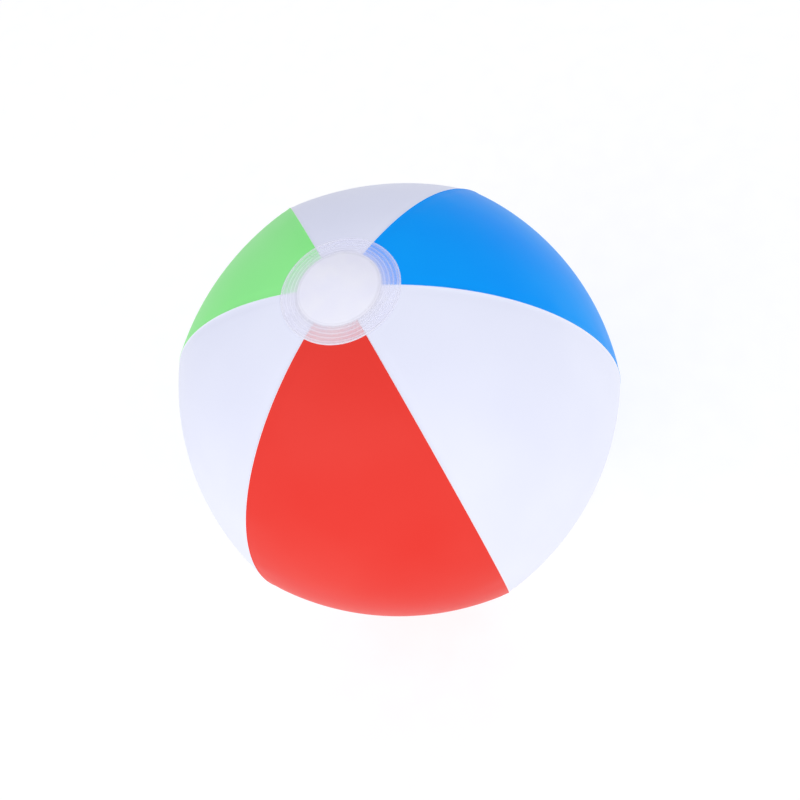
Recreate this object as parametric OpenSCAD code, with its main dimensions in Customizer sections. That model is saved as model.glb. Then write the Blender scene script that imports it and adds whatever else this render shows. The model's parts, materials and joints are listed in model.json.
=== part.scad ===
// Inflatable beach ball: six welded vinyl panels, two end discs and a push-in valve with a plug and a check flap.
// The origin is the ball's centre. +Z is the pole axis, towards the plain end disc; the valve is near the other end.

/* [Ball] */
// Radius at the seams, on the equator
seam_r = 165; // [150:1:180]
// Half the height from pole to pole
half_h = 155; // [140:1:165]
// How far the middle of a panel lies inside the seam radius, on the equator
panel_flat = 4.3; // [2:0.1:9]
// Thickness of the panels' vinyl film
film_t = 0.25; // [0.2:0.05:0.4]
// Width of the welded lip that a white panel puts under its neighbour
lap_w = 5; // [3:0.5:7]

/* [End discs] */
// Radius of an end disc
disc_r = 36; // [30:0.5:48]
// Thickness of an end disc's film
disc_t = 0.3; // [0.2:0.05:0.5]
// Radius of the hole that the panels' tips leave at each pole
tip_hole_r = 24.3; // [18:0.1:27]
// Number of welded rings that join a disc to the panels' tips
ring_count = 5; // [3:1:6]
// Distance between welded rings
ring_gap = 2.4; // [1.8:0.1:2.8]
// Width of a welded ring
ring_w = 0.8; // [0.5:0.1:1.2]
// Height of a welded ring above its disc
ring_h = 0.25; // [0.15:0.05:0.4]

/* [Valve] */
// Angle of the valve from the lower pole, by its surface normal
valve_angle = 43; // [30:1:60]
// Radius of the valve's hole in the panel
valve_hole_r = 11.5; // [11.3:0.1:14]
// Radius of the flange that is welded inside the panel
flange_r = 16.5; // [15:0.5:22]
// Thickness of the flange and of the cup's soft wall
flange_t = 0.6; // [0.4:0.1:1]
// Depth of the soft cup that the stem stands in
cup_depth = 8; // [7:0.5:12]
// Outer radius of the stem
stem_r = 4.8; // [4.4:0.1:5]
// Length of the stem
stem_len = 15.2; // [14:0.1:20]
// How far the pushed-in stem's mouth lies below the panel
mouth_drop = 0.8; // [0.6:0.1:1]
// Radius of the mouth that the plug closes
mouth_r = 3; // [2.9:0.05:3.2]
// Depth of the mouth
mouth_depth = 6.2; // [5.5:0.1:7]
// Radius of the throat that a pump nozzle seats in
throat_r = 2.5; // [2:0.1:2.7]

/* [Plug] */
// Radius of the plug's head
head_r = 5; // [4.6:0.1:5.2]
// Thickness of the plug's head
head_t = 1.5; // [1.2:0.1:2]
// Length of the plug's shank
shank_len = 4.5; // [3.5:0.1:5]
// Distance from the plug's axis to the strap's hinge
hinge_out = 8.3; // [8.2:0.1:8.6]
// Width of the strap
strap_w = 3.2; // [2.5:0.1:4]
// Thickness of the strap
strap_t = 0.8; // [0.6:0.1:1]

/* [Check flap] */
// Radius of the check flap
flap_r = 4.3; // [3.6:0.1:4.6]
// Thickness of the check flap
flap_t = 0.5; // [0.4:0.1:0.8]

/* [Hidden] */
$fn = 96;

panel_count = 6;
half_panel = 180 / panel_count;
slack = 0.05;                  // running clearance between pieces that move on each other
valve_spot = 5;                // the panel that carries the valve
far = 2 * (seam_r + half_h);   // longer than any part of the ball

// The outline down the middle of a panel is one arc. Its centre lies arc_out outside the pole axis.
mid_r = seam_r - panel_flat;
arc_out = (mid_r * mid_r - half_h * half_h) / (2 * mid_r);
arc_r = mid_r - arc_out;
// Each panel turns about its own axis, turn_back behind the pole axis, so that it is flatter than a round ball.
turn_back = (seam_r * seam_r - mid_r * mid_r) / (2 * (mid_r - seam_r * cos(half_panel)));
ring_centre = turn_back + arc_out;
cap_rise = 0.2;                // how far the middle of a turned solid is raised, clear of the panels next to it

// Height of the ball's outside at a seam, at distance r from the pole axis
function seam_z(r) = sqrt(arc_r * arc_r
    - pow(norm([r * cos(half_panel) + turn_back, r * sin(half_panel)]) - ring_centre, 2));
dome_least = 0.3;              // the disc bulges at least this much, also on a ball with flat or hollow poles
disc_out_z = seam_z(disc_r) + disc_t;
disc_in_z = max(seam_z(tip_hole_r) + disc_t, disc_out_z + dome_least);
disc_dome_z = (tip_hole_r * tip_hole_r + disc_in_z * disc_in_z - disc_r * disc_r - disc_out_z * disc_out_z)
    / (2 * (disc_in_z - disc_out_z));
disc_dome_r = norm([disc_r, disc_out_z - disc_dome_z]);
disc_skirt = 1.2;              // how far a disc reaches down beside the panels' tips, before they are cut from it

ring_r0 = tip_hole_r + 0.3;
rim_w = 1;

valve_arc_r = arc_r - film_t;  // the outline down the middle of a white panel

// Heights in the valve's own frame: 0 is the panel's outside, and + is out of the ball.
mouth_z = -mouth_drop;
stem_end_z = mouth_z - stem_len;
cup_floor_z = -cup_depth;
cup_out_r = valve_hole_r - slack;
cup_low_r = cup_out_r - 1.2;
cup_corner = 1.5;
bead_r = stem_r + 0.8;
bead_h = 1.2;
hinge_drop = shank_len / 2;
hinge_z = mouth_z - hinge_drop;
hinge_r = 0.55;
bend_r = hinge_drop + 0.15;   // brings the strap level with the foot of the plug's head
seal_gap = 0.15;               // between the plug's widest part and the mouth
head_z = mouth_z + slack;
collar_r = stem_r + 0.9;
collar_h = 2;
dimple_r = 1.4;
flap_z = stem_end_z - slack;
flap_hinge_x = stem_r + 0.45;
flap_hinge_r = 0.4;
flap_w = 4;
anchor_len = 3.5;

// A ring sector in the plane, centred on the origin. Angles run from +Y towards +X.
module ring_sector(r_in, r_out, from, to) {
    reach = 2 * r_out;
    mid = (from + to) / 2;
    intersection() {
        difference() {
            circle(r_out, $fn = 200);
            circle(r_in, $fn = 200);
        }
        polygon([[0, 0], reach * [sin(from), cos(from)], reach * [sin(mid), cos(mid)], reach * [sin(to), cos(to)]]);
    }
}

// The solid that one panel's outside would bound if it went right round its own axis. The low is an offset.
module turned(spot, low) {
    rotate([0, 0, spot * 2 * half_panel]) translate([-turn_back, 0, 0])
        rotate_extrude() {
            intersection() {
                translate([ring_centre, 0]) circle(arc_r + low, $fn = 200);
                translate([1, -arc_r]) square([far, 2 * arc_r]);
            }
            translate([0, -arc_r - low - cap_rise]) square([ring_centre, 2 * (arc_r + low + cap_rise)]);
        }
}

// The wedge of space that belongs to one panel, with its sides moved out by more.
module panel_wedge(spot, more) {
    back = more / sin(half_panel);
    reach = far * [cos(half_panel), sin(half_panel)];
    rotate([0, 0, spot * 2 * half_panel]) translate([-back, 0, 0])
        linear_extrude(far, center = true) polygon([[0, 0], [reach[0], -reach[1]], reach]);
}

module pole_holes() {
    cylinder(far, r = tip_hole_r, center = true);
}

// Turns a panel that is built round +X to its place, from 0 to panel_count - 1.
module in_place(spot) {
    rotate([0, 0, spot * 2 * half_panel]) children();
}

module coloured_panel() {
    difference() {
        intersection() {
            turned(0, 0);
            panel_wedge(0, 0);
        }
        turned(0, -film_t);
        pole_holes();
    }
}

// A white panel lies one film deeper, and its edges run on under the coloured panels as welded lips.
module white_panel() {
    difference() {
        intersection() {
            turned(-1, -film_t);
            turned(0, -film_t);
            turned(1, -film_t);
            panel_wedge(0, lap_w);
        }
        intersection() {
            turned(-1, -2 * film_t);
            turned(0, -2 * film_t);
            turned(1, -2 * film_t);
        }
        pole_holes();
    }
}

module red_panel() { color("#e8352b") in_place(4) coloured_panel(); }
module blue_panel() { color("#1290ff") in_place(0) coloured_panel(); }
module green_panel() { color("#8fe88a") in_place(2) coloured_panel(); }
module white_panel_1() {
    color("#f4f5fb") in_place(valve_spot) difference() {
        white_panel();
        valve_frame() cylinder(cup_depth, r = valve_hole_r, center = true);
    }
}
module white_panel_2() { color("#f4f5fb") in_place(1) white_panel(); }
module white_panel_3() { color("#f4f5fb") in_place(3) white_panel(); }

// A layer of a disc's dome between two distances from the pole axis, as an outline to be turned.
module disc_layer(low, high, r_in, r_out) {
    intersection() {
        translate([0, disc_dome_z]) difference() {
            circle(disc_dome_r + high, $fn = 200);
            circle(disc_dome_r + low, $fn = 200);
        }
        translate([r_in, half_h / 2]) square([r_out - r_in, half_h]);
    }
}

// An end disc lies on the panels' tips, with its rings and its raised rim on the outside.
module end_disc() {
    difference() {
        rotate_extrude() {
            disc_layer(-disc_t, 0, 0, disc_r);
            disc_layer(-disc_t - disc_skirt, 0, tip_hole_r - 0.5, disc_r);
            for (ring = [0 : ring_count - 1])
                disc_layer(-disc_t / 2, ring_h, ring_r0 + ring * ring_gap - ring_w / 2,
                    ring_r0 + ring * ring_gap + ring_w / 2);
            disc_layer(-disc_t / 2, ring_h, disc_r - rim_w, disc_r);
        }
        intersection_for (spot = [0 : panel_count - 1]) turned(spot, 0);
    }
}

module plain_end_disc() { color("#e8e9fb") end_disc(); }
module valve_end_disc() { color("#e8e9fb") mirror([0, 0, 1]) end_disc(); }

// Puts the valve's own frame on the middle of a panel that is built round +X. Its own +X points to the strap's hinge.
module valve_frame() {
    translate([arc_out + valve_arc_r * sin(valve_angle), 0, -valve_arc_r * cos(valve_angle)])
        rotate([0, 180 - valve_angle, 0]) rotate([0, 0, 180]) children();
}

module at_valve() {
    in_place(valve_spot) valve_frame() children();
}

// The flange follows the inside of the panel round the hole.
module valve_flange() {
    color("#eef0f8") in_place(valve_spot) intersection() {
        difference() {
            turned(0, -2 * film_t);
            turned(0, -2 * film_t - flange_t);
        }
        valve_frame() difference() {
            cylinder(cup_depth, r = flange_r, center = true);
            cylinder(cup_depth + 2, r = valve_hole_r, center = true);
        }
    }
}

// The soft cup hangs from the flange's inner edge and holds the stem by its bead. It turns inside out as the stem is pulled.
module valve_cup() {
    rim_z = -film_t - valve_hole_r * valve_hole_r / (2 * arc_r);
    low = cup_floor_z - flange_t / 2;
    color("#eef0f8") at_valve() rotate_extrude() polygon([
        [cup_out_r, rim_z], [cup_out_r, rim_z - flange_t], [cup_low_r, low + cup_corner],
        [cup_low_r - cup_corner, low], [bead_r + slack, low],
        [bead_r + slack, low + flange_t], [cup_low_r - cup_corner - flange_t / 3, low + flange_t],
        [cup_low_r - flange_t, low + cup_corner + flange_t / 3], [cup_out_r - flange_t, rim_z]]);
}

module valve_stem() {
    color("#f0f2fa") at_valve() difference() {
        union() {
            translate([0, 0, stem_end_z]) cylinder(stem_len, r = stem_r);
            translate([0, 0, cup_floor_z - bead_h / 2]) cylinder(bead_h, r = bead_r);
        }
        translate([0, 0, stem_end_z - 1]) cylinder(stem_len + 2, r = throat_r);
        translate([0, 0, mouth_z - mouth_depth]) cylinder(mouth_depth + 1, r = mouth_r);
    }
}

// A ring round the stem, with a tab that ends in a round seat for the strap's hinge.
module strap_collar() {
    color("#f0f2fa") at_valve() difference() {
        union() {
            translate([0, 0, hinge_z - collar_h / 2]) cylinder(collar_h, r = collar_r);
            translate([stem_r, -strap_w / 2, hinge_z - strap_t / 2])
                cube([hinge_out - stem_r, strap_w, strap_t]);
        }
        translate([0, 0, hinge_z - collar_h]) cylinder(2 * collar_h, r = stem_r);
        translate([hinge_out, 0, hinge_z]) rotate([90, 0, 0])
            cylinder(2 * strap_w, r = hinge_r + slack, center = true);
    }
}

// The shank is full width only at the mouth, so that it can swing clear on its strap.
module plug() {
    seal_h = 0.4;
    color("#f4f5fb") at_valve() difference() {
        rotate_extrude() polygon([
            [0, head_z - shank_len], [mouth_r - 0.85, head_z - shank_len], [mouth_r - 0.65, head_z - shank_len + 0.4],
            [mouth_r - 0.45, head_z - 3 * seal_h], [mouth_r - seal_gap, head_z - seal_h], [mouth_r - seal_gap, head_z],
            [head_r, head_z], [head_r, head_z + 0.7 * head_t], [head_r - 0.3 * head_t, head_z + head_t],
            [0, head_z + head_t]]);
        translate([0, 0, head_z - shank_len + 1.2]) cylinder(shank_len + head_t, r = dimple_r);
    }
}

// The strap bends from its hinge over to the side of the plug's head.
module plug_strap() {
    color("#f4f5fb") at_valve() difference() {
        union() {
            translate([hinge_out - bend_r, 0, hinge_z]) rotate([90, 0, 0])
                linear_extrude(strap_w, center = true)
                    ring_sector(bend_r - strap_t / 2, bend_r + strap_t / 2, 0, 90);
            translate([head_r - 1, -strap_w / 2, hinge_z + bend_r - strap_t / 2])
                cube([hinge_out - bend_r - head_r + 1, strap_w, strap_t]);
            translate([hinge_out, 0, hinge_z]) rotate([90, 0, 0])
                cylinder(strap_w, r = hinge_r, center = true);
        }
        translate([0, 0, mouth_z - 1]) cylinder(head_t + 4, r = head_r);
    }
}

// The strip that is welded to the stem's side and carries the check flap.
module flap_anchor() {
    color("#f0f2fa") at_valve() difference() {
        translate([0, -flap_w / 2, stem_end_z]) cube([stem_r + 0.8, flap_w, anchor_len]);
        translate([0, 0, stem_end_z - 1]) cylinder(anchor_len + 2, r = stem_r);
        translate([flap_hinge_x, 0, flap_z - flap_t / 2]) rotate([90, 0, 0])
            cylinder(2 * flap_w, r = flap_hinge_r + slack, center = true);
    }
}

// The flap lies on the stem's inner end and opens into the ball.
module check_flap() {
    color("#f0f2fa") at_valve() {
        translate([0, 0, flap_z - flap_t]) cylinder(flap_t, r = flap_r);
        translate([0, -flap_w / 2, flap_z - flap_t]) cube([flap_hinge_x, flap_w, flap_t]);
        translate([flap_hinge_x, 0, flap_z - flap_t / 2]) rotate([90, 0, 0])
            cylinder(flap_w, r = flap_hinge_r, center = true);
    }
}

red_panel();
blue_panel();
green_panel();
white_panel_1();
white_panel_2();
white_panel_3();
plain_end_disc();
valve_end_disc();
valve_flange();
valve_cup();
valve_stem();
strap_collar();
plug();
plug_strap();
flap_anchor();
check_flap();
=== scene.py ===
import json
import math

import bpy
from mathutils import Matrix, Vector

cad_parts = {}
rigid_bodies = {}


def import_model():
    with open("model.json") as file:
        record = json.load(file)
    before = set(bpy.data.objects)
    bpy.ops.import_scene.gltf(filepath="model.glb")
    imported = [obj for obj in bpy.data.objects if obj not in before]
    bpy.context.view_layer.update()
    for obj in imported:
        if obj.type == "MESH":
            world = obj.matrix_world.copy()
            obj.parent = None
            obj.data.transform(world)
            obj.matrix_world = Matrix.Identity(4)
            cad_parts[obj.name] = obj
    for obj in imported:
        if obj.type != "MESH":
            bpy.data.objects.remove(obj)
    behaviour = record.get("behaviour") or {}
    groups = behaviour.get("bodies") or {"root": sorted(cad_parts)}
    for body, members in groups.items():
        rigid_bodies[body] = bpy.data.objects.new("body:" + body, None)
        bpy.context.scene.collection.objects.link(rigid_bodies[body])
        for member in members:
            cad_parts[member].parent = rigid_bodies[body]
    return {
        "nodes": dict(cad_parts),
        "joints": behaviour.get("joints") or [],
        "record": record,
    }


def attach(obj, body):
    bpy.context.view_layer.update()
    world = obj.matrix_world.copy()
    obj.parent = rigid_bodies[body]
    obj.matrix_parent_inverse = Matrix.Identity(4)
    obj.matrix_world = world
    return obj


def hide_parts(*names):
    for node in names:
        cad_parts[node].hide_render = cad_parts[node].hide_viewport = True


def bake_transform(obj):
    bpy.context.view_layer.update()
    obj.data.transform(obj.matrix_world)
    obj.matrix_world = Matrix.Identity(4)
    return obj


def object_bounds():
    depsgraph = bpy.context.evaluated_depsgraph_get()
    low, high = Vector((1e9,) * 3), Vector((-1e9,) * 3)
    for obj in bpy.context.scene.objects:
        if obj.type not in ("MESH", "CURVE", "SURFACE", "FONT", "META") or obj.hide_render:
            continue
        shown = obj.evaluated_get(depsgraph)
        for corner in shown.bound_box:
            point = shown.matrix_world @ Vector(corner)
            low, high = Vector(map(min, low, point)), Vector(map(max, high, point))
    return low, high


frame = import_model()
nodes = frame["nodes"]
joints = {j["name"]: j for j in frame["joints"]}
CAD_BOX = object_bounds()

MM = 0.001

# ---------------------------------------------------------------- sizes in metres, the same as the CAD's
SEAM_R = 165 * MM  # the ball's radius at a seam
MID_R = SEAM_R - 4.3 * MM  # and at the middle of a panel
HALF_H = 155 * MM
FILM = 0.25 * MM
LAP = 5 * MM
TIP_R = 24.3 * MM  # the panels end at this radius round the pole
HALF = math.pi / 6  # half of a panel's angle round the pole
ARC_OUT = (MID_R**2 - HALF_H**2) / (2 * MID_R)
ARC_R = MID_R - ARC_OUT  # radius of a panel's arc from tip to tip
TURN_BACK = (SEAM_R**2 - MID_R**2) / (2 * (MID_R - SEAM_R * math.cos(HALF)))
RING = TURN_BACK + ARC_OUT  # a panel's own axis is TURN_BACK behind the pole, and its arc's middle is RING from that
VALVE_HOLE_R = 11.5 * MM
FLANGE_R = 16.5 * MM
NOZZLE_DEPTH = 11.5 * MM  # the nozzle's mount lies this far inside the panel
DISC_R = 36 * MM
DISC_T = 0.3 * MM
RING_R0 = TIP_R + 0.3 * MM  # the first weld ring on the disc
RING_GAP = 2.4 * MM
RING_COUNT = 5


def clear_selection():
    for o in bpy.context.view_layer.objects:
        o.select_set(False)


# ---------------------------------------------------------------- camera
def make_camera(azimuth, elevation, roll, distance, lens, shift):
    """A camera that looks at the ball's middle. The angles are in degrees, and azimuth 0 is the front."""
    data = bpy.data.cameras.new("camera")
    cam = bpy.data.objects.new("camera", data)
    bpy.context.scene.collection.objects.link(cam)
    a, e = math.radians(azimuth), math.radians(elevation)
    place = Vector((math.sin(a) * math.cos(e), -math.cos(a) * math.cos(e), math.sin(e))) * distance
    turn = (-place).to_track_quat("-Z", "Y").to_matrix()
    tilt = Matrix.Rotation(math.radians(roll), 3, "Z")
    cam.matrix_world = Matrix.Translation(place) @ (turn @ tilt).to_4x4()
    data.lens = lens
    data.sensor_width = 36
    data.shift_x, data.shift_y = shift
    data.clip_start = 0.01
    bpy.context.scene.camera = cam


make_camera(-1.9, 62.4, -27.9, 3.1 * SEAM_R, 29.6, (0.0033, -0.0016))
bpy.context.scene.view_settings.view_transform = "Standard"


# ---------------------------------------------------------------- materials
VINYL_IOR = 1.53


def linear(code):
    """A colour from an sRGB hex value to Blender's linear numbers."""
    parts = [int(code[i : i + 2], 16) / 255 for i in (1, 3, 5)]
    return [c / 12.92 if c <= 0.04045 else ((c + 0.055) / 1.055) ** 2.4 for c in parts] + [1]


def grain(size):
    """A noise's Scale for patches that are size metres across."""
    return 1 / size


def add(tree, kind, settings, links):
    """A node with its settings and links. A setting is an attribute, a ramp's stops or an input's value, and a link
    goes from an output socket to an input. Inputs are given by name or number."""
    n = tree.nodes.new(kind)
    for key, value in settings.items():
        if key == "stops":
            for stop, (n_place, colour) in zip(n.color_ramp.elements, value):
                stop.position, stop.color = n_place, colour
        elif isinstance(key, str) and hasattr(n, key):
            setattr(n, key, value)
        else:
            n.inputs[key].default_value = value
    for key, socket in links.items():
        tree.links.new(socket, n.inputs[key])
    return n


def blank(name):
    m = bpy.data.materials.new(name)
    m.use_nodes = True
    m.node_tree.nodes.clear()
    return m


def shades(deep, pale):
    """A ramp's stops for a noise, which seldom leaves 0.3 to 0.7."""
    return ((0.3, linear(deep)), (0.7, linear(pale)))


def calendered_vinyl(name, deep, pale):
    """PVC film rolled between polished cylinders: smooth and glossy, with a faint long ripple and a slightly cloudy
    colour, because the pigment is in a film thin enough to let a little light through."""
    m = blank(name)
    t = m.node_tree
    where = add(t, "ShaderNodeTexCoord", {}, {})
    # the pigment's clouds, 70 mm across
    cloud = add(
        t,
        "ShaderNodeTexNoise",
        {"Scale": grain(70 * MM), "Detail": 2, "Roughness": 0.4},
        {"Vector": where.outputs["Object"]},
    )
    film = add(t, "ShaderNodeValToRGB", {"stops": shades(deep, pale)}, {"Fac": cloud.outputs["Fac"]})
    # the bead along a weld is thicker and drawn paler: partly the squeezed-out film's own colour, partly a painted
    # highlight along the seam
    bead = add(t, "ShaderNodeAttribute", {"attribute_name": "weld_bead_highlight"}, {})
    tone = add(
        t,
        "ShaderNodeMix",
        {"data_type": "RGBA", 7: linear("#fdfdff")},
        {0: bead.outputs["Fac"], 6: film.outputs["Color"]},
    )
    # 30 mm ripples that the rollers leave
    ripple = add(
        t, "ShaderNodeTexNoise", {"Scale": grain(30 * MM), "Detail": 1}, {"Vector": where.outputs["Object"]}
    )
    relief = add(t, "ShaderNodeBump", {"Strength": 0.06, "Distance": MM}, {"Height": ripple.outputs["Fac"]})
    # haze in patches 20 mm across, where the film was rolled a little less smooth
    haze = add(
        t, "ShaderNodeTexNoise", {"Scale": grain(20 * MM), "Detail": 2}, {"Vector": where.outputs["Object"]}
    )
    gloss = add(t, "ShaderNodeMapRange", {"To Min": 0.36, "To Max": 0.41}, {"Value": haze.outputs["Fac"]})
    shader = add(
        t,
        "ShaderNodeBsdfPrincipled",
        {"IOR": VINYL_IOR, "Specular IOR Level": 0.06},
        {"Base Color": tone.outputs[2], "Roughness": gloss.outputs["Result"], "Normal": relief.outputs["Normal"]},
    )
    add(t, "ShaderNodeOutputMaterial", {}, {"Surface": shader.outputs["BSDF"]})
    return m


def milky_vinyl(name):
    """Unpigmented PVC film with a little white in it: milky where it hangs free, and clearer in the outer ring,
    where the welds have pressed it on to the panels' tips. The film is so thin that the light goes on through it."""
    m = blank(name)
    t = m.node_tree
    where = add(t, "ShaderNodeTexCoord", {}, {})
    flat = add(
        t, "ShaderNodeVectorMath", {"operation": "MULTIPLY", 1: (1, 1, 0)}, {0: where.outputs["Object"]}
    )
    out = add(t, "ShaderNodeVectorMath", {"operation": "LENGTH"}, {0: flat.outputs["Vector"]})
    free = add(
        t,
        "ShaderNodeMapRange",
        {
            "interpolation_type": "SMOOTHSTEP",
            "From Min": TIP_R - 2 * MM,
            "From Max": TIP_R + 2.5 * MM,
            "To Min": 1.0,
            "To Max": 0.4,
        },
        {"Value": out.outputs["Value"]},
    )
    pressed = add(
        t,
        "ShaderNodeMapRange",
        {
            "interpolation_type": "SMOOTHSTEP",
            "From Min": TIP_R + 2 * MM,
            "From Max": DISC_R - 3 * MM,
            "To Min": 0.0,
            "To Max": 0.12,
        },
        {"Value": out.outputs["Value"]},
    )
    clearer = add(
        t, "ShaderNodeMath", {"operation": "SUBTRACT"}, {0: free.outputs["Result"], 1: pressed.outputs["Result"]}
    )
    # the weld's ridges are drawn whiter, partly because the film is thicker there and partly as a painted highlight
    # along each ridge: a sine that tops out on each of them
    turns = add(
        t,
        "ShaderNodeMath",
        {
            "operation": "MULTIPLY_ADD",
            1: 2 * math.pi / RING_GAP,
            2: math.pi / 2 - 2 * math.pi * RING_R0 / RING_GAP,
        },
        {0: out.outputs["Value"]},
    )
    wave = add(t, "ShaderNodeMath", {"operation": "SINE"}, {0: turns.outputs["Value"]})
    ridge = add(
        t,
        "ShaderNodeMapRange",
        {"interpolation_type": "SMOOTHSTEP", "From Min": 0.0, "From Max": 1.0, "To Min": 0.0, "To Max": 0.14},
        {"Value": wave.outputs["Value"]},
    )
    white = add(
        t,
        "ShaderNodeMath",
        {"operation": "ADD", "use_clamp": True},
        {0: clearer.outputs["Value"], 1: ridge.outputs["Result"]},
    )
    # painted highlight: the film is drawn whiter along its rim, where the raised rim catches the light
    painted_rim_highlight = add(
        t,
        "ShaderNodeMapRange",
        {"From Min": DISC_R - 1.3 * MM, "From Max": DISC_R - 0.7 * MM, "To Min": 0.0, "To Max": 0.25},
        {"Value": out.outputs["Value"]},
    )
    # painted light: the film is drawn whiter towards the side where the light falls stronger
    painted_side_light = add(
        t,
        "ShaderNodeVectorMath",
        {"operation": "DOT_PRODUCT", 1: (-3.6, -2.1, 0)},
        {0: where.outputs["Object"]},
    )
    # the painted side light and the painted rim highlight added together
    thick = add(
        t, "ShaderNodeMath", {"operation": "ADD"}, {0: painted_side_light.outputs["Value"], 1: painted_rim_highlight.outputs["Result"]}
    )
    whiter = add(
        t,
        "ShaderNodeMath",
        {"operation": "ADD", "use_clamp": True},
        {0: white.outputs["Value"], 1: thick.outputs["Value"]},
    )
    # clouds 17 mm across
    cloud = add(
        t, "ShaderNodeTexNoise", {"Scale": grain(17 * MM), "Detail": 2}, {"Vector": where.outputs["Object"]}
    )
    tone = add(
        t, "ShaderNodeValToRGB", {"stops": shades("#f6f5ff", "#fbfaff")}, {"Fac": cloud.outputs["Fac"]}
    )
    relief = add(t, "ShaderNodeBump", {"Strength": 0.05, "Distance": MM}, {"Height": cloud.outputs["Fac"]})
    shader = add(
        t,
        "ShaderNodeBsdfPrincipled",
        {"IOR": VINYL_IOR, "Roughness": 0.3, "Specular IOR Level": 0.3},
        {
            "Base Color": tone.outputs["Color"],
            "Alpha": whiter.outputs["Value"],
            "Normal": relief.outputs["Normal"],
        },
    )
    # light reaches the panels' tips as if the film weren't there
    path = add(t, "ShaderNodeLightPath", {}, {})
    through = add(t, "ShaderNodeBsdfTransparent", {}, {})
    both = add(
        t,
        "ShaderNodeMixShader",
        {},
        {0: path.outputs["Is Shadow Ray"], 1: shader.outputs["BSDF"], 2: through.outputs["BSDF"]},
    )
    add(t, "ShaderNodeOutputMaterial", {}, {"Surface": both.outputs["Shader"]})
    return m


def moulded_soft_vinyl(name, deep, pale, roughness):
    """Soft PVC cast in a polished mould: slightly cloudy, waxy and rounder in its shine than the film."""
    m = blank(name)
    t = m.node_tree
    where = add(t, "ShaderNodeTexCoord", {}, {})
    # clouds 5.5 mm across
    cloud = add(
        t, "ShaderNodeTexNoise", {"Scale": grain(5.5 * MM), "Detail": 3}, {"Vector": where.outputs["Object"]}
    )
    tone = add(t, "ShaderNodeValToRGB", {"stops": shades(deep, pale)}, {"Fac": cloud.outputs["Fac"]})
    # the mould's skin, drawn 0.4 mm across, which is coarser than it is, so that it shows
    skin = add(
        t, "ShaderNodeTexNoise", {"Scale": grain(0.4 * MM), "Detail": 1}, {"Vector": where.outputs["Object"]}
    )
    relief = add(
        t, "ShaderNodeBump", {"Strength": 0.15, "Distance": 0.1 * MM}, {"Height": skin.outputs["Fac"]}
    )
    shader = add(
        t,
        "ShaderNodeBsdfPrincipled",
        {"IOR": VINYL_IOR, "Roughness": roughness, "Subsurface Weight": 0.2, "Subsurface Scale": 2 * MM},
        {"Base Color": tone.outputs["Color"], "Normal": relief.outputs["Normal"]},
    )
    add(t, "ShaderNodeOutputMaterial", {}, {"Surface": shader.outputs["BSDF"]})
    return m


RED = calendered_vinyl("red calendered PVC film", "#ee3b31", "#f04339")
BLUE = calendered_vinyl("blue calendered PVC film", "#009bff", "#06a4ff")
GREEN = calendered_vinyl("green calendered PVC film", "#93f98f", "#9dfc99")
WHITE = calendered_vinyl("white calendered PVC film", "#eceefb", "#f1f3fe")
MILKY = milky_vinyl("milky PVC end film")
VALVE = moulded_soft_vinyl("soft moulded PVC valve", "#dfe3f2", "#eceffa", 0.38)
STOPPER = moulded_soft_vinyl("soft moulded PVC stopper", "#e9ebf6", "#f3f4fc", 0.34)


# ---------------------------------------------------------------- panels
def turned_point(place, level, theta, psi):
    """A point level outside the panel's surface: theta is up the arc, psi round the panel's own axis."""
    a = RING + (ARC_R + level) * math.cos(theta)
    x, y, z = a * math.cos(psi) - TURN_BACK, a * math.sin(psi), (ARC_R + level) * math.sin(theta)
    c, s = math.cos(place * 2 * HALF), math.sin(place * 2 * HALF)
    return (c * x - s * y, s * x + c * y, z)


def seam_psi(level, theta):
    """How far round its own axis a panel reaches its seam, at height theta."""
    a = RING + (ARC_R + level) * math.cos(theta)
    return HALF - math.asin(TURN_BACK * math.sin(HALF) / a)


def tip_theta(level, share):
    """The height at which the line at that share of the panel's width meets the panels' end."""
    low, high = 0.0, math.pi / 2
    for _ in range(40):
        mid = (low + high) / 2
        x, y, _z = turned_point(0, level, mid, share * seam_psi(level, mid))
        if math.hypot(x, y) > TIP_R:
            low = mid
        else:
            high = mid
    return low


# the valve's own frame: Z out of the ball, X towards the strap's hinge, origin on the panel round it
slide_axis = Vector(joints["valve_slide"]["axis"])
hinge_axis = Vector(joints["plug_swing"]["axis"])
nozzle = next(m for m in frame["record"]["mounts"] if m["name"] == "pump_nozzle")
VALVE_AT = Vector(nozzle["pos_m"]) + slide_axis * NOZZLE_DEPTH
VALVE_TURN = Matrix((hinge_axis.cross(slide_axis), hinge_axis, slide_axis)).transposed()
VALVE_FRAME = Matrix.Translation(VALVE_AT) @ VALVE_TURN.to_4x4()


def smooth(low, high, value):
    """0 at low, 1 at high and an even curve between them. Low may be the larger one."""
    t = min(max((value - low) / (high - low), 0), 1)
    return t * t * (3 - 2 * t)


def pucker(place, side, theta):
    """The small gathers along a welded seam, where the flat cut of the film can't quite follow the round ball.
    They are three waves, 26, 17 and 41 mm long, and each seam has its own."""
    k = place * 7.3 + side * 2.1
    t = theta * ARC_R / MM
    return math.sin(t / 4.1 + k) * 0.5 + math.sin(t / 2.7 + 1.7 * k) * 0.3 + math.sin(t / 6.5 - k) * 0.4


def cut_hole(piece, radius):
    """A round hole on the valve's axis."""
    clear_selection()
    bpy.ops.mesh.primitive_cylinder_add(vertices=96, radius=radius, depth=12 * MM)
    punch = bpy.context.object
    punch.matrix_world = VALVE_FRAME
    clear_selection()
    piece.select_set(True)
    bpy.context.view_layer.objects.active = piece
    cut = piece.modifiers.new("hole", "BOOLEAN")
    cut.operation, cut.solver, cut.object = "DIFFERENCE", "EXACT", punch
    bpy.ops.object.modifier_apply(modifier="hole")
    bpy.data.objects.remove(punch, do_unlink=True)
    piece.data.set_sharp_from_angle(angle=math.radians(40))


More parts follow.
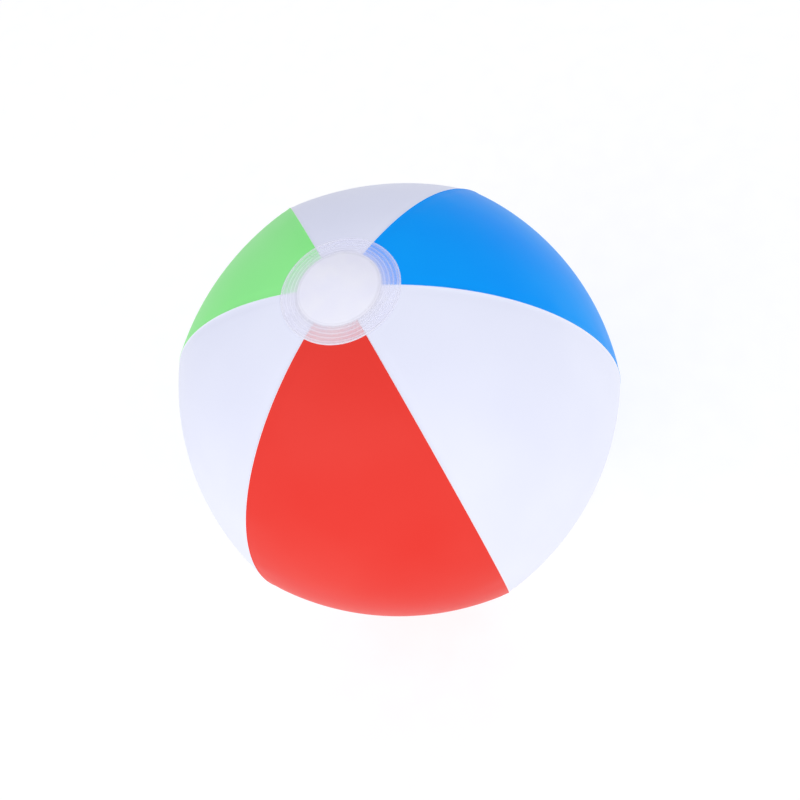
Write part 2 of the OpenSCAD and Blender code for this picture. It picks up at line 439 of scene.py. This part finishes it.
def smooth_mesh(name, points, faces, material):
    """A new smooth-shaded object in the scene."""
    mesh = bpy.data.meshes.new(name)
    mesh.from_pydata(points, [], faces)
    for poly in mesh.polygons:
        poly.use_smooth = True
    mesh.update()
    mesh.materials.append(material)
    piece = bpy.data.objects.new(name, mesh)
    bpy.context.scene.collection.objects.link(piece)
    return piece


ROWS, COLUMNS = 150, 40
CROWD = 1.35  # how much closer the columns are beside the seams
BEAD_COLUMNS = [1 - d * MM / (HALF * SEAM_R) for d in (0.25, 0.5, 0.8, 1.1)]
BEAD_FROM = BEAD_COLUMNS[2]
GATHER = 0.12 * MM
GATHER_W = 26 * MM
BAND_DROP = 0.18 * MM
BEAD_H = 0.3 * MM
FLANGE_SHOWS = 0.3 * MM
LIP_STEPS = 2


def column_shares():
    """The places of the columns across a panel, from -1 at one seam to 1 at the other."""
    shares = set()
    for j in range(COLUMNS + 1):
        u = -1 + 2 * j / COLUMNS
        shares.add(math.copysign(1 - (1 - abs(u)) ** CROWD, u) if u else 0.0)
    return sorted(shares | set(BEAD_COLUMNS) | {-f for f in BEAD_COLUMNS})


SHARES = column_shares()


def film_panel(name, node, place, material):
    """One panel of film as it lies on the air, from tip to tip. The white ones lie one film deeper, and run on under
    the others at each side."""
    lips = place % 2 == 1
    has_valve = node == "white_panel_1"
    level = -FILM if lips else 0
    ends = [tip_theta(level, s) for s in SHARES]

    def surface(column, row, depth):
        share, end = SHARES[column], ends[column]
        theta = end * (-1 + 2 * row / ROWS)
        psi_seam = seam_psi(level, theta)
        psi = share * psi_seam
        from_seam = (1 - abs(share)) * psi_seam * (RING + ARC_R * math.cos(theta))
        side = 1 if share > 0 else -1
        near = smooth(GATHER_W, 0, from_seam) * smooth(0, 1.5 * MM, from_seam)
        away = smooth(0.02, 0.2, end - abs(theta))
        lift = GATHER * pucker(place, side, theta) * near * away
        # the weld's band lies a little flatter than the film beside it
        band = smooth(LAP + 1.0 * MM, LAP - 0.6 * MM, from_seam) * smooth(0, 0.8 * MM, from_seam)
        lift -= BAND_DROP * band * away
        if lips:
            # the bead that the weld squeezes out along the edge, 1 mm wide
            lift += BEAD_H * math.sin(math.pi * min(from_seam / MM, 1)) ** 2 * away
        if has_valve:
            # the flange welded inside shows as a low ring
            off = Vector(turned_point(place, level, theta, psi)) - VALVE_AT
            out = (off - slide_axis * off.dot(slide_axis)).length
            lift += FLANGE_SHOWS * smooth(FLANGE_R + 1 * MM, FLANGE_R - 1 * MM, out)
        return turned_point(place, level + lift - depth, theta, psi)

    def lip(side, step, row, depth):
        """The lip goes on over the next panel's surface, one film down."""
        theta = ends[0] * (-1 + 2 * row / ROWS)
        a = RING + ARC_R * math.cos(theta)
        psi = seam_psi(level, theta) - step * LAP / LIP_STEPS / a
        return turned_point(place + side, level - (0.35 + 0.3 * step) * MM - depth, theta, -side * psi)

    lip_steps = range(1, LIP_STEPS + 1) if lips else ()
    columns = [("lip", -1, k) for k in reversed(lip_steps)]
    columns += [("film", j, 0) for j in range(len(SHARES))]
    columns += [("lip", 1, k) for k in lip_steps]
    points, squeezed_bead_and_highlight = [], []
    for depth in (0, FILM):
        for kind, which, step in columns:
            # the mask for the bead's paler colour: squeezed-out film and a painted highlight along the seam
            in_bead_and_highlight = lips and kind == "film" and abs(SHARES[which]) > BEAD_FROM - 1e-9
            for row in range(ROWS + 1):
                film = kind == "film"
                points.append(surface(which, row, depth) if film else lip(which, step, row, depth))
                squeezed_bead_and_highlight.append(1.0 if in_bead_and_highlight else 0.0)

    n, r = len(columns), ROWS + 1
    half = n * r
    faces = []
    for j in range(n - 1):
        for i in range(ROWS):
            a, b, c, d = j * r + i, (j + 1) * r + i, (j + 1) * r + i + 1, j * r + i + 1
            faces.append((a, b, c, d))
            faces.append((half + d, half + c, half + b, half + a))
    for i in range(ROWS):
        faces.append((i, i + 1, half + i + 1, half + i))
        e = (n - 1) * r
        faces.append((e + i + 1, e + i, half + e + i, half + e + i + 1))
    for j in range(n - 1):
        a, b = j * r, (j + 1) * r
        faces.append((b, a, half + a, half + b))
        a, b = j * r + ROWS, (j + 1) * r + ROWS
        faces.append((a, b, half + b, half + a))
    piece = smooth_mesh(name, points, faces, material)
    piece.data.attributes.new("weld_bead_highlight", "FLOAT", "POINT").data.foreach_set("value", squeezed_bead_and_highlight)
    if has_valve:
        cut_hole(piece, VALVE_HOLE_R)
    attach(piece, "ball")
    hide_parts(node)

    # a pointed oval, cut from film as long as the arc from tip to tip
    length = 2 * ARC_R * ends[len(SHARES) // 2]
    strips = 200
    step = length / ARC_R / strips
    heights = [(k - (strips - 1) / 2) * step for k in range(strips)]
    gore = sum(2 * seam_psi(0, h) * (RING + ARC_R * math.cos(h)) * ARC_R * step for h in heights)
    gore += 2 * LAP * length if lips else 0


PANELS = (
    ("blue_panel_film", "blue_panel", BLUE, "blue_vinyl"),
    ("white_panel_2_film", "white_panel_2", WHITE, "white_vinyl"),
    ("green_panel_film", "green_panel", GREEN, "green_vinyl"),
    ("white_panel_3_film", "white_panel_3", WHITE, "white_vinyl"),
    ("red_panel_film", "red_panel", RED, "red_vinyl"),
    ("white_panel_1_film", "white_panel_1", WHITE, "white_vinyl"),
)
for place, (name, node, material, slot_name) in enumerate(PANELS):
    film_panel(name, node, place, material)


# ---------------------------------------------------------------- end discs
SPOKES = 144
RIM = DISC_R - 0.55 * MM
RIM_H = 0.3 * MM
RIDGE_H = 0.07 * MM
CLEAR = 0.04 * MM  # between the disc and the panels


def panels_z(r, turn):
    """The height of the panels' outer skin at radius r from the pole."""
    off = (turn + HALF) % (2 * HALF) - HALF
    a = math.hypot(r * math.cos(off) + TURN_BACK, r * math.sin(off)) - RING
    return math.sqrt(ARC_R**2 - a * a)


def disc_radii():
    """The radii of the disc's rings of points: 1.5 mm apart in the free middle, and closer over the welds."""
    radii = [1.5 * MM * k for k in range(1, 15)] + [22.3 * MM, 23.4 * MM]
    r = TIP_R
    while r < DISC_R - 0.05 * MM:
        radii.append(r)
        r += 0.26 * MM
    return radii + [DISC_R - 0.03 * MM, DISC_R]


def disc_top(r, turn):
    """The height of the disc's outer skin."""
    bridge = panels_z(TIP_R, HALF) + (TIP_R**2 - r * r) / (2 * ARC_R)
    z = panels_z(r, turn) if r > TIP_R else bridge
    if r > TIP_R:
        z += (bridge - z) * smooth(TIP_R + 3 * MM, TIP_R, r)
    ridge = math.cos((r - RING_R0) / RING_GAP * 2 * math.pi)
    if r > RING_R0 - 0.8 * MM and r < RING_R0 + (RING_COUNT - 0.6) * RING_GAP:
        z += RIDGE_H * smooth(0.0, 1.0, ridge) * smooth(TIP_R - 1 * MM, TIP_R + 5 * MM, r)
    z += RIM_H * smooth(0.6 * MM, 0.1 * MM, abs(r - RIM))
    return z + CLEAR + DISC_T * (1 - 0.8 * smooth(DISC_R - 0.2 * MM, DISC_R, r))


def end_film(name, node, up):
    """A round cap of film: flat across the hole between the tips, then pressed on to them by ring welds."""
    radii = disc_radii()
    points, faces = [(0, 0, disc_top(0, 0) * up)], []
    for r in radii:
        for k in range(SPOKES):
            turn = 2 * math.pi * k / SPOKES
            points.append((r * math.cos(turn), r * math.sin(turn), disc_top(r, turn) * up))
    n = len(points)
    # the film thins out at its very edge
    for x, y, z in points[:n]:
        inner = math.hypot(x, y) < DISC_R - 0.3 * MM
        points.append((x, y, z - up * DISC_T * (1 if inner else 0.2)))
    for k in range(SPOKES):
        a, b = 1 + k, 1 + (k + 1) % SPOKES
        faces.append((0, a, b) if up > 0 else (0, b, a))
        faces.append((n, n + b, n + a) if up > 0 else (n, n + a, n + b))
        for i in range(len(radii) - 1):
            p, q = a + i * SPOKES, b + i * SPOKES
            quad = (p, p + SPOKES, q + SPOKES, q)
            low = tuple(n + v for v in reversed(quad))
            faces += [quad, low] if up > 0 else [tuple(reversed(quad)), tuple(reversed(low))]
        p, q = a + (len(radii) - 1) * SPOKES, b + (len(radii) - 1) * SPOKES
        edge = (p, n + p, n + q, q)
        faces.append(edge if up > 0 else tuple(reversed(edge)))
    piece = smooth_mesh(name, points, faces, MILKY)
    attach(piece, "ball")
    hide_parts(node)


end_film("plain_end_disc_film", "plain_end_disc", 1)
end_film("valve_end_disc_film", "valve_end_disc", -1)


# ---------------------------------------------------------------- valve cup
def turned_skin(name, profile, wall):
    """A skin of revolution in the valve's frame: a ring at the profile's first point, extruded from point to point."""
    clear_selection()
    r0, z0 = profile[0]
    bpy.ops.mesh.primitive_circle_add(vertices=72, radius=r0, location=(0, 0, z0))
    skin = bpy.context.object
    skin.name = name
    bpy.ops.object.transform_apply(location=True, rotation=True, scale=True)
    bpy.ops.object.mode_set(mode="EDIT")
    bpy.ops.mesh.select_all(action="SELECT")
    for (r1, z1), (r2, z2) in zip(profile, profile[1:]):
        bpy.ops.mesh.extrude_edges_move(TRANSFORM_OT_translate={"value": (0, 0, z2 - z1)})
        bpy.ops.transform.resize(value=(r2 / r1, r2 / r1, 1), center_override=(0, 0, z2))
    bpy.ops.mesh.select_all(action="SELECT")
    bpy.ops.mesh.remove_doubles(threshold=1e-6)
    bpy.ops.mesh.normals_make_consistent(inside=False)
    bpy.ops.object.mode_set(mode="OBJECT")
    thick = skin.modifiers.new("wall", "SOLIDIFY")
    thick.thickness, thick.offset = wall, 0
    bpy.ops.object.modifier_apply(modifier="wall")
    round_off = skin.modifiers.new("round", "SUBSURF")
    round_off.levels = round_off.render_levels = 1
    bpy.ops.object.modifier_apply(modifier="round")
    skin.data.transform(VALVE_FRAME)
    for poly in skin.data.polygons:
        poly.use_smooth = True
    return skin


def bend_through(a, b, c, d, t):
    """The place at share t from b to c, on a smooth curve that passes through a, b, c and d."""
    return 0.5 * (2 * b + (c - a) * t + (2 * a - 5 * b + 4 * c - d) * t * t + (3 * b - a - 3 * c + d) * t**3)


def bow(points, count):
    """More points along the same outline, on a smooth curve through them."""
    out = []
    last = len(points) - 1
    for i in range(last):
        near = [points[min(max(i + k, 0), last)] for k in (-1, 0, 1, 2)]
        for j in range(count):
            out.append(tuple(bend_through(*way, j / count) for way in zip(*near)))
    return out + [points[-1]]


# the cup's wall from the ball's skin in to the stem, as radius and depth in millimetres
CUP_OUTLINE = [
    (12.3, -0.9),
    (11.6, -1.05),
    (11.3, -1.6),
    (11.2, -3.0),
    (10.8, -6.0),
    (9.9, -7.4),
    (8.6, -8.0),
    (7.0, -8.1),
    (5.9, -8.0),
    (5.65, -7.9),
]
cup = turned_skin("valve_cup_skin", [(r * MM, z * MM) for r, z in bow(CUP_OUTLINE, 3)], 0.6 * MM)
cup.data.materials.append(VALVE)
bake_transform(cup)
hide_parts("valve_cup")

for node, material in (
    ("valve_flange", VALVE),
    ("valve_stem", VALVE),
    ("strap_collar", VALVE),
    ("flap_anchor", VALVE),
    ("check_flap", VALVE),
    ("plug", STOPPER),
    ("plug_strap", STOPPER),
):
    mesh = nodes[node].data
    mesh.materials.clear()
    mesh.materials.append(material)


# ---------------------------------------------------------------- floor and light
def matt_paper(name):
    """Uncoated white paper: matt, with faint clouds of fibre 25 mm across. It is lit from behind as well."""
    m = blank(name)
    t = m.node_tree
    where = add(t, "ShaderNodeTexCoord", {}, {})
    fibre = add(t, "ShaderNodeTexNoise", {"Scale": grain(25 * MM)}, {"Vector": where.outputs["Object"]})
    tone = add(
        t, "ShaderNodeValToRGB", {"stops": shades("#929293", "#979797")}, {"Fac": fibre.outputs["Fac"]}
    )
    shader = add(
        t,
        "ShaderNodeBsdfPrincipled",
        {"Roughness": 0.9, "Emission Color": linear("#ffffff"), "Emission Strength": 0.74},
        {"Base Color": tone.outputs["Color"]},
    )
    add(t, "ShaderNodeOutputMaterial", {}, {"Surface": shader.outputs["BSDF"]})
    return m


FLOOR_Z = CAD_BOX[0][2]
clear_selection()
bpy.ops.mesh.primitive_plane_add(size=12, location=(0, 0, FLOOR_Z))
floor = bpy.context.object
floor.name = "floor"
floor.data.materials.append(matt_paper("matt white paper floor"))


def studio_walls():
    """A white studio that is a little dimmer behind the ball than in front of it, and near the ground."""
    world = bpy.data.worlds.new("studio")
    bpy.context.scene.world = world
    world.use_nodes = True
    t = world.node_tree
    sky = t.nodes["Background"]
    around = add(t, "ShaderNodeTexCoord", {}, {})
    way = add(t, "ShaderNodeSeparateXYZ", {}, {"Vector": around.outputs["Generated"]})
    depth = add(t, "ShaderNodeMapRange", {"From Min": -0.6, "From Max": 0.9}, {"Value": way.outputs["Y"]})
    wall = add(
        t,
        "ShaderNodeValToRGB",
        {"stops": ((0.0, (0.95, 0.96, 1, 1)), (1.0, (0.38, 0.39, 0.48, 1)))},
        {"Fac": depth.outputs["Result"]},
    )
    height = add(
        t,
        "ShaderNodeValToRGB",
        {"stops": ((0.0, (0.66, 0.66, 0.7, 1)), (0.55, (1, 1, 1, 1)))},
        {"Fac": way.outputs["Z"]},
    )
    both = add(
        t,
        "ShaderNodeMix",
        {"data_type": "RGBA", "blend_type": "MULTIPLY", 0: 1},
        {6: wall.outputs["Color"], 7: height.outputs["Color"]},
    )
    t.links.new(both.outputs[2], sky.inputs["Color"])
    sky.inputs["Strength"].default_value = 1.12


studio_walls()


def soft_light(name, place, size, power):
    """A round softbox that points at the ball."""
    data = bpy.data.lights.new(name, "AREA")
    data.shape = "DISK"
    data.size = size
    data.energy = power
    lamp = bpy.data.objects.new(name, data)
    bpy.context.scene.collection.objects.link(lamp)
    lamp.location = place
    lamp.rotation_euler = (-Vector(place)).to_track_quat("-Z", "Y").to_euler()


soft_light("left softbox", (-1.3, -0.4, 0.9), 1.4, 4.6)
soft_light("right softbox", (1.3, -0.7, 0.6), 1.4, 1.4)
